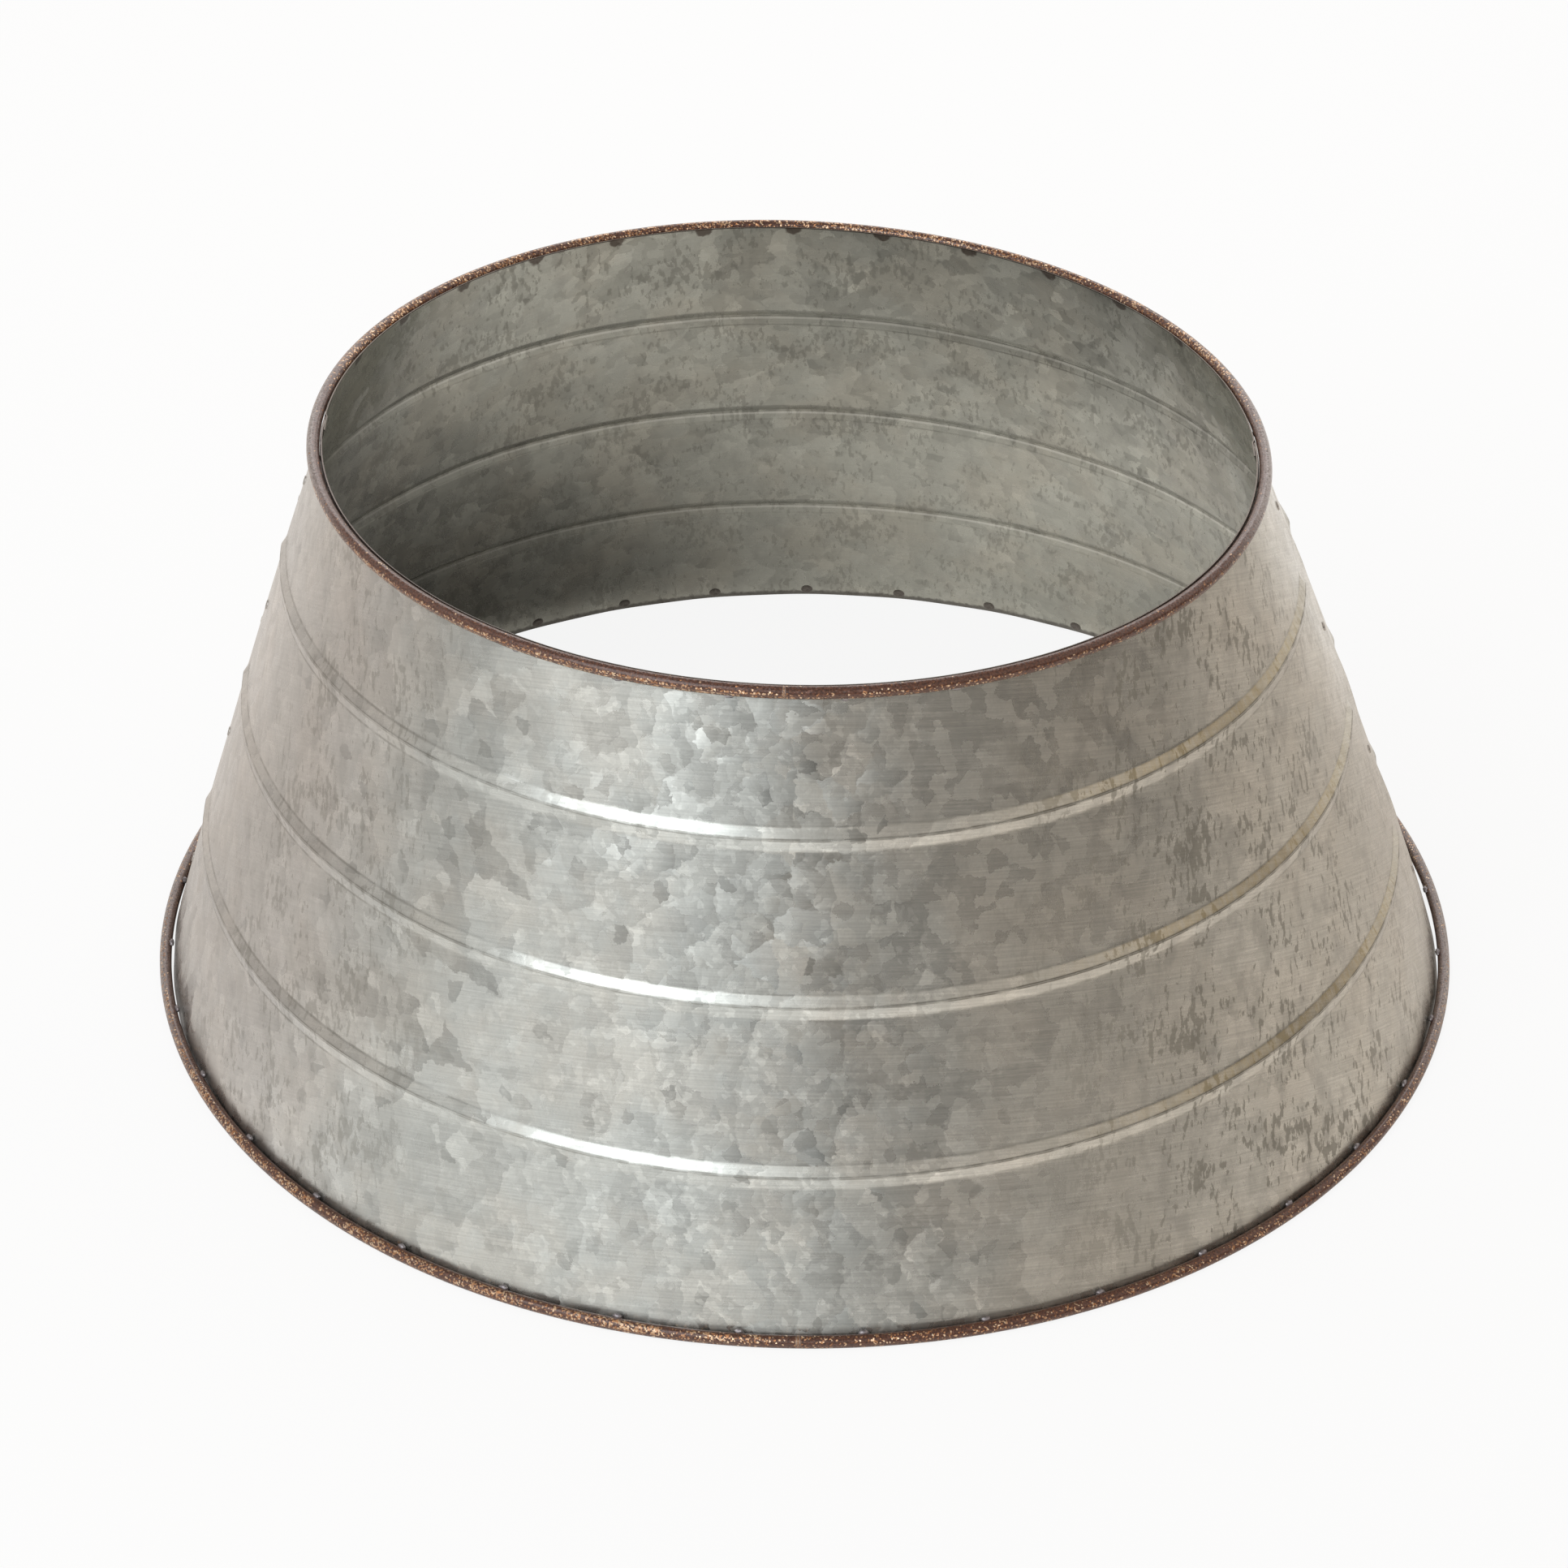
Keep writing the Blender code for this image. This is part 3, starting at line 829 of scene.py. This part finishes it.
def add_shade_and_heat_marks(node, base, flat, along, inside):
    """Base with painted shade in the groove over the bottom ring, and on the cut top edge,
    which lies in the shade under the top ring.

    Inside, the heat of each weld left a round mark under the top ring.
    """
    ragged = node("TexNoise 2D", flat, 1 / ragged_edge_grain, 3.0, output="Fac")
    ragged = node("Math MULTIPLY_ADD", ragged, ragged_edge_grain, -ragged_edge_grain / 2)
    # Painted shade: darker in the groove over the bottom ring, with a ragged upper edge
    groove = node("MapRange SMOOTHSTEP", node("Math ADD", along, ragged), 2.2 * MM, 4.6 * MM,
                  0.75, 0.0)
    base = node("Mix RGBA", groove, base, srgb("#4C4744"))
    from_edge = node("Math SUBTRACT", edge_length, along)
    # Painted shade: the cut top edge darkened where it lies in the gap under the top ring
    cut_edge = node("MapRange SMOOTHSTEP", from_edge, 0.3 * MM, 0.9 * MM, 0.85, 0.0)
    base = node("Mix RGBA", cut_edge, base, srgb("#3A2A22"))
    if inside:
        weld_pitch = math.pi * top_radius / top_welds[0]
        turns, _, _ = node("SeparateXYZ", node("UVMap weld_turns"))
        aside = node("Math SUBTRACT", node("Math FRACT", turns), 0.5)
        aside = node("Math MULTIPLY", aside, weld_pitch)
        from_weld = node("Math SQRT", node("Math MULTIPLY_ADD", aside, aside,
                                           node("Math POWER", from_edge, 2.0)))
        from_weld = node("Math ADD", from_weld, ragged)
        mark = node("MapRange SMOOTHSTEP", from_weld, 4.0 * MM, 5.6 * MM, 0.8, 0.0)
        base = node("Mix RGBA", mark, base, srgb("#4A3A30"))
    return base


def leaned_normal(node, tilt_right, tilt_up):
    """Normal leaned right along the cone and up its slope, and the direction up the slope."""
    normal = node("NewGeometry", output="Normal")
    right = node("VectorMath NORMALIZE",
                 node("VectorMath CROSS_PRODUCT", (0.0, 0.0, 1.0), normal))
    up = node("VectorMath CROSS_PRODUCT", normal, right)
    leaned = node("VectorMath ADD", normal, node("VectorMath SCALE", right, tilt_right))
    leaned = node("VectorMath ADD", leaned, node("VectorMath SCALE", up, tilt_up))
    return node("VectorMath NORMALIZE", leaned), up


def galvanised(name, inside):
    """Hot-dip galvanised steel, rolled before it was bent.

    Its zinc crystals have crisp ragged edges and differ in grey and in tilt: broad ones, smaller
    ones that lie among them, and a few dark ones. Over them lie fine rolled lines, groups of
    light flecks, and dull olive marks. The rolled lines blur reflections up and down more than
    sideways.
    """
    material, node = new_material(name)
    flat = node("UVMap flat_sheet")
    azimuth, along, _ = node("SeparateXYZ", node("UVMap wall"))
    from_crest, bead_side, _ = node("SeparateXYZ", node("UVMap bead"))
    crystals_show, flecks_show, marks_show, lines_show, grain_shows = zinc_strengths(
        node, azimuth, along, inside)

    # Grey by crystals, feathers, flecks, lines, grain and clouds
    fringe = ragged_shift(node, flat, *crystal_fringe)
    tone, tilt, feathers, number = zinc_crystals(node, flat, fringe)
    lines = node("VectorMath DIVIDE", flat, (*rolled_line, 1.0))
    lines = node("TexNoise 2D", lines, 1.0, 2.0, 0.6, output="Fac")
    grain = node("TexNoise 2D", flat, 1 / zinc_grain, 3.0, 0.65, output="Fac")
    cloud = node("TexNoise 2D", flat, 1 / zinc_cloud, 5.0, 0.6, output="Fac")
    tone = node("Math MULTIPLY_ADD", light_flecks(node, flat, fringe), flecks_show,
                node("Math MULTIPLY", tone, crystals_show))
    grey = node("Math ADD", tone, 1.0)
    for pattern, depth in (
            (feathers, 0.12), (lines, lines_show), (grain, grain_shows), (cloud, 0.1)):
        part = node("Math MULTIPLY_ADD", node("Math SUBTRACT", pattern, 0.5), depth, 1.0)
        grey = node("Math MULTIPLY", grey, part)
    base = node("VectorMath SCALE", zinc_colour(node, azimuth, cloud, inside), grey)
    base, mark, streak_noise = dull_marks(node, flat, base, marks_show)

    # Beads: the side is 1 above the crest, -1 below it, and 0 where the bead has faded out
    ridge = node("Math ABSOLUTE", bead_side)
    above = node("Math MAXIMUM", bead_side, 0.0)
    below = node("Math MAXIMUM", node("Math MULTIPLY", bead_side, -1.0), 0.0)
    flank = node("Math MULTIPLY", node("MapRange SMOOTHSTEP", from_crest, 0.3 * MM, 1.0 * MM),
                 node("MapRange SMOOTHSTEP", from_crest, bead_half_width - 0.4 * MM,
                      bead_half_width, 1.0, 0.0))
    # Painted shade: dark lines along the beads' feet and close under their crests
    line = node("Math MULTIPLY", bead_shade_lines(node, flat, azimuth, from_crest, inside), ridge)
    base = node("Mix RGBA", line, base, srgb("#6E6A60"))
    if inside:
        # Painted highlight: pale lines under the beads' crests inside
        crest_highlight = under_crest_highlights(node, from_crest, below)
        base = node("Mix RGBA", crest_highlight, base, srgb("#F0EFE6"))
    else:
        upper_flank = node("Math MULTIPLY", above, flank)
        # Painted reflection: gold on the upper flanks to the right of the front
        golden = golden_flank_reflection(node, azimuth, upper_flank, streak_noise)
        base = node("Mix RGBA", golden, base, srgb("#AD9A6C"))
    base = add_shade_and_heat_marks(node, base, flat, along, inside)
    if inside:
        # Painted shade: the inside is a little darker all round, and darker still towards the left
        inside_shade = node("MapRange SMOOTHSTEP", azimuth, 3.3, 4.3, 0.89, 0.77)
        base = node("VectorMath SCALE", base, inside_shade)

    # The flanks are calmer, because the rolling smoothed them, and lower ones inside lean more
    calm = node("Math MULTIPLY_ADD", node("Math MULTIPLY", ridge, flank), -0.75, 1.0)
    tilt = node("VectorMath SCALE", node("VectorMath SCALE", tilt, crystals_show), calm)
    tilt_right, tilt_up, _ = node("SeparateXYZ", tilt)
    if inside:
        tilt_up = node("Math MULTIPLY_ADD", node("Math MULTIPLY", below, flank), -0.27, tilt_up)
    leaned, up = leaned_normal(node, tilt_right, tilt_up)
    skin = node("Math MULTIPLY_ADD", grain, 0.5, lines)
    bump = node("Bump", strength=0.3, distance=0.03 * MM, height=skin, normal=leaned)
    rough = node("MapRange SMOOTHSTEP", number, 0.2, 0.8, 0.24, 0.31)
    rough = node("Math MULTIPLY_ADD", node("Math ADD", mark, line), 0.2, rough)
    node("OutputMaterial", node("BsdfPrincipled", base_color=base, metallic=0.92, roughness=rough,
                                normal=bump, anisotropic=0.7, tangent=up))
    return material


def rust_lacquer(name, ring_radius, glint_band_at, glint_band_width, glint_band_most):
    """Rust-brown lacquer over steel wire, with fine specks of golden metal.

    In front most specks lie in a band along one line of the wire, gathered where they glint:
    painted glints. They thin out to the right of the front, and cover the wire at the back. Beside
    the seams the wire's upper outer side turns to grey metal: a painted sheen.
    """
    material, node = new_material(name)
    flat = node("UVMap flat_sheet")
    length, around, _ = node("SeparateXYZ", flat)
    azimuth = node("Math MULTIPLY", length, 1 / ring_radius)
    ahead = node("Math COSINE", azimuth)
    from_seam = node("Math ABSOLUTE", ahead)
    grain = node("TexNoise 2D", flat, 1 / lacquer_grain, 3.0, 0.65, output="Fac")
    group = node("TexNoise 2D", flat, 1 / speck_group, output="Fac")
    speck = node("TexVoronoi 2D", flat, 1 / lacquer_speck, output="Color")
    pick, hue, _ = node("SeparateXYZ", speck)

    # Distance round the wire from the middle line of the glint band, which wraps at a full turn
    turn = 2 * math.pi * wire_radius
    away = node("Math ADD", around, turn / 2 - glint_band_at)
    away = node("Math SUBTRACT", node("Math FLOORED_MODULO", away, turn), turn / 2)
    away = node("Math ABSOLUTE", away)

    # Share of specks that are golden metal, most in the band of painted glints
    glint_share = node("MapRange SMOOTHSTEP", away, glint_band_width * 0.6, glint_band_width, glint_band_most, 0.02)
    fewer = node("MapRange SMOOTHSTEP", node("Math SINE", azimuth), -0.25, 0.1, 1.0, 0.45)
    glint_share = node("Math MAXIMUM", node("Math MULTIPLY", glint_share, fewer),
                  node("MapRange SMOOTHSTEP", ahead, -0.4, 0.1, 0.4, 0.0))
    for part in (node("MapRange SMOOTHSTEP", group, 0.35, 0.6, 0.55, 1.15),
                 node("MapRange SMOOTHSTEP", from_seam, 0.1, 0.45, 0.35, 1.0)):
        glint_share = node("Math MULTIPLY", glint_share, part)
    bare = node("Math LESS_THAN", pick, glint_share)

    # Share of grey metal beside the seams, along the wire's upper outer side: a painted sheen
    aside = node("Math ABSOLUTE", node("Math SUBTRACT", around, sheen_line_at))
    grey_sheen = node("MapRange SMOOTHSTEP", from_seam, 0.15, 0.5, 0.85, 0.0)
    for part in (node("MapRange SMOOTHSTEP", grain, 0.3, 0.5),
                 node("MapRange SMOOTHSTEP", aside, 0.8 * MM, 2.6 * MM, 1.0, 0.12)):
        grey_sheen = node("Math MULTIPLY", grey_sheen, part)

    thin = node("MapRange SMOOTHSTEP", grain, 0.35, 0.65)
    base = node("Mix RGBA", thin, srgb("#43261A"), srgb("#68402D"))
    base = node("Mix RGBA", grey_sheen, base, srgb("#A59C98"))
    gold = node("Mix RGBA", node("Math POWER", hue, 2.0), srgb("#A06E48"), srgb("#EED2B0"))
    base = node("Mix RGBA", bare, base, gold)
    metal = node("Math MAXIMUM", node("Math MULTIPLY_ADD", bare, 0.65, 0.25), grey_sheen)
    tilt = node("VectorMath SUBTRACT", speck, (0.5, 0.5, 0.5))
    leaned = node("VectorMath MULTIPLY_ADD", tilt, (0.5, 0.5, 0.5),
                  node("NewGeometry", output="Normal"))
    bump = node("Bump", strength=0.3, distance=0.1 * MM, height=grain,
                normal=node("VectorMath NORMALIZE", leaned))
    node("OutputMaterial", node("BsdfPrincipled", base_color=base, metallic=metal, roughness=0.4,
                                normal=bump, coat_weight=0.6, coat_roughness=0.12))
    return material


def weld_metal(name, darkest, palest):
    """Bare spot-weld metal: grainy steel between two greys, which the heat has tinted."""
    material, node = new_material(name)
    place = node("TexCoord", output="Object")
    grain = node("TexNoise", place, 1 / weld_grain, 3.0, output="Fac")
    base = node("Mix RGBA", grain, srgb(darkest), srgb(palest))
    bump = node("Bump", strength=0.6, distance=0.2 * MM, height=grain)
    node("OutputMaterial", node("BsdfPrincipled", base_color=base, metallic=0.9, roughness=0.4,
                                normal=bump))
    return material


zinc = [galvanised("galvanised_outside", False), galvanised("galvanised_inside", True)]
bare_weld = weld_metal("weld_metal", "#5E5A5C", "#B7B0B2")
pale_weld = weld_metal("seam_weld_metal", "#9A9691", "#C6C0B9")
scorched_weld = weld_metal("scorched_weld_metal", "#45423E", "#857F77")
add_sheet("front_sheet", "front_panel", False, zinc)
add_sheet("back_sheet", "back_panel", True, zinc)
add_wire("bottom_ring", "bottom_wire_ring", bottom_wire,
         rust_lacquer("rust_lacquer_bottom", bottom_wire[0], *bottom_glint_band))
add_wire("top_ring", "top_wire_ring", top_wire,
         rust_lacquer("rust_lacquer_top", top_wire[0], *top_glint_band))
add_groove_welds("bottom_ring_nuggets", bottom_wire, bottom_welds, 1, bare_weld)
add_groove_welds("top_ring_nuggets", top_wire, top_welds, -1, bare_weld)
for side, azimuth in (("left", -math.pi / 2), ("right", math.pi / 2)):
    spots = add_marks(f"{side}_seam_spots", [(azimuth, along) for along in seam_weld_places],
                      seam_weld_profile, pale_weld)
    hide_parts(*[f"{side}_seam_weld_{i + 1}" for i in range(len(seam_weld_places))])
add_marks("bottom_edge_buttons", [(a, foot_mark_height) for a in weld_azimuths(bottom_welds)],
          foot_mark_profile, scorched_weld, inner=True)

add_camera()
add_world()
for softbox in softboxes:
    add_softbox(*softbox)
add_floor()
bpy.context.scene.view_settings.view_transform = "Standard"
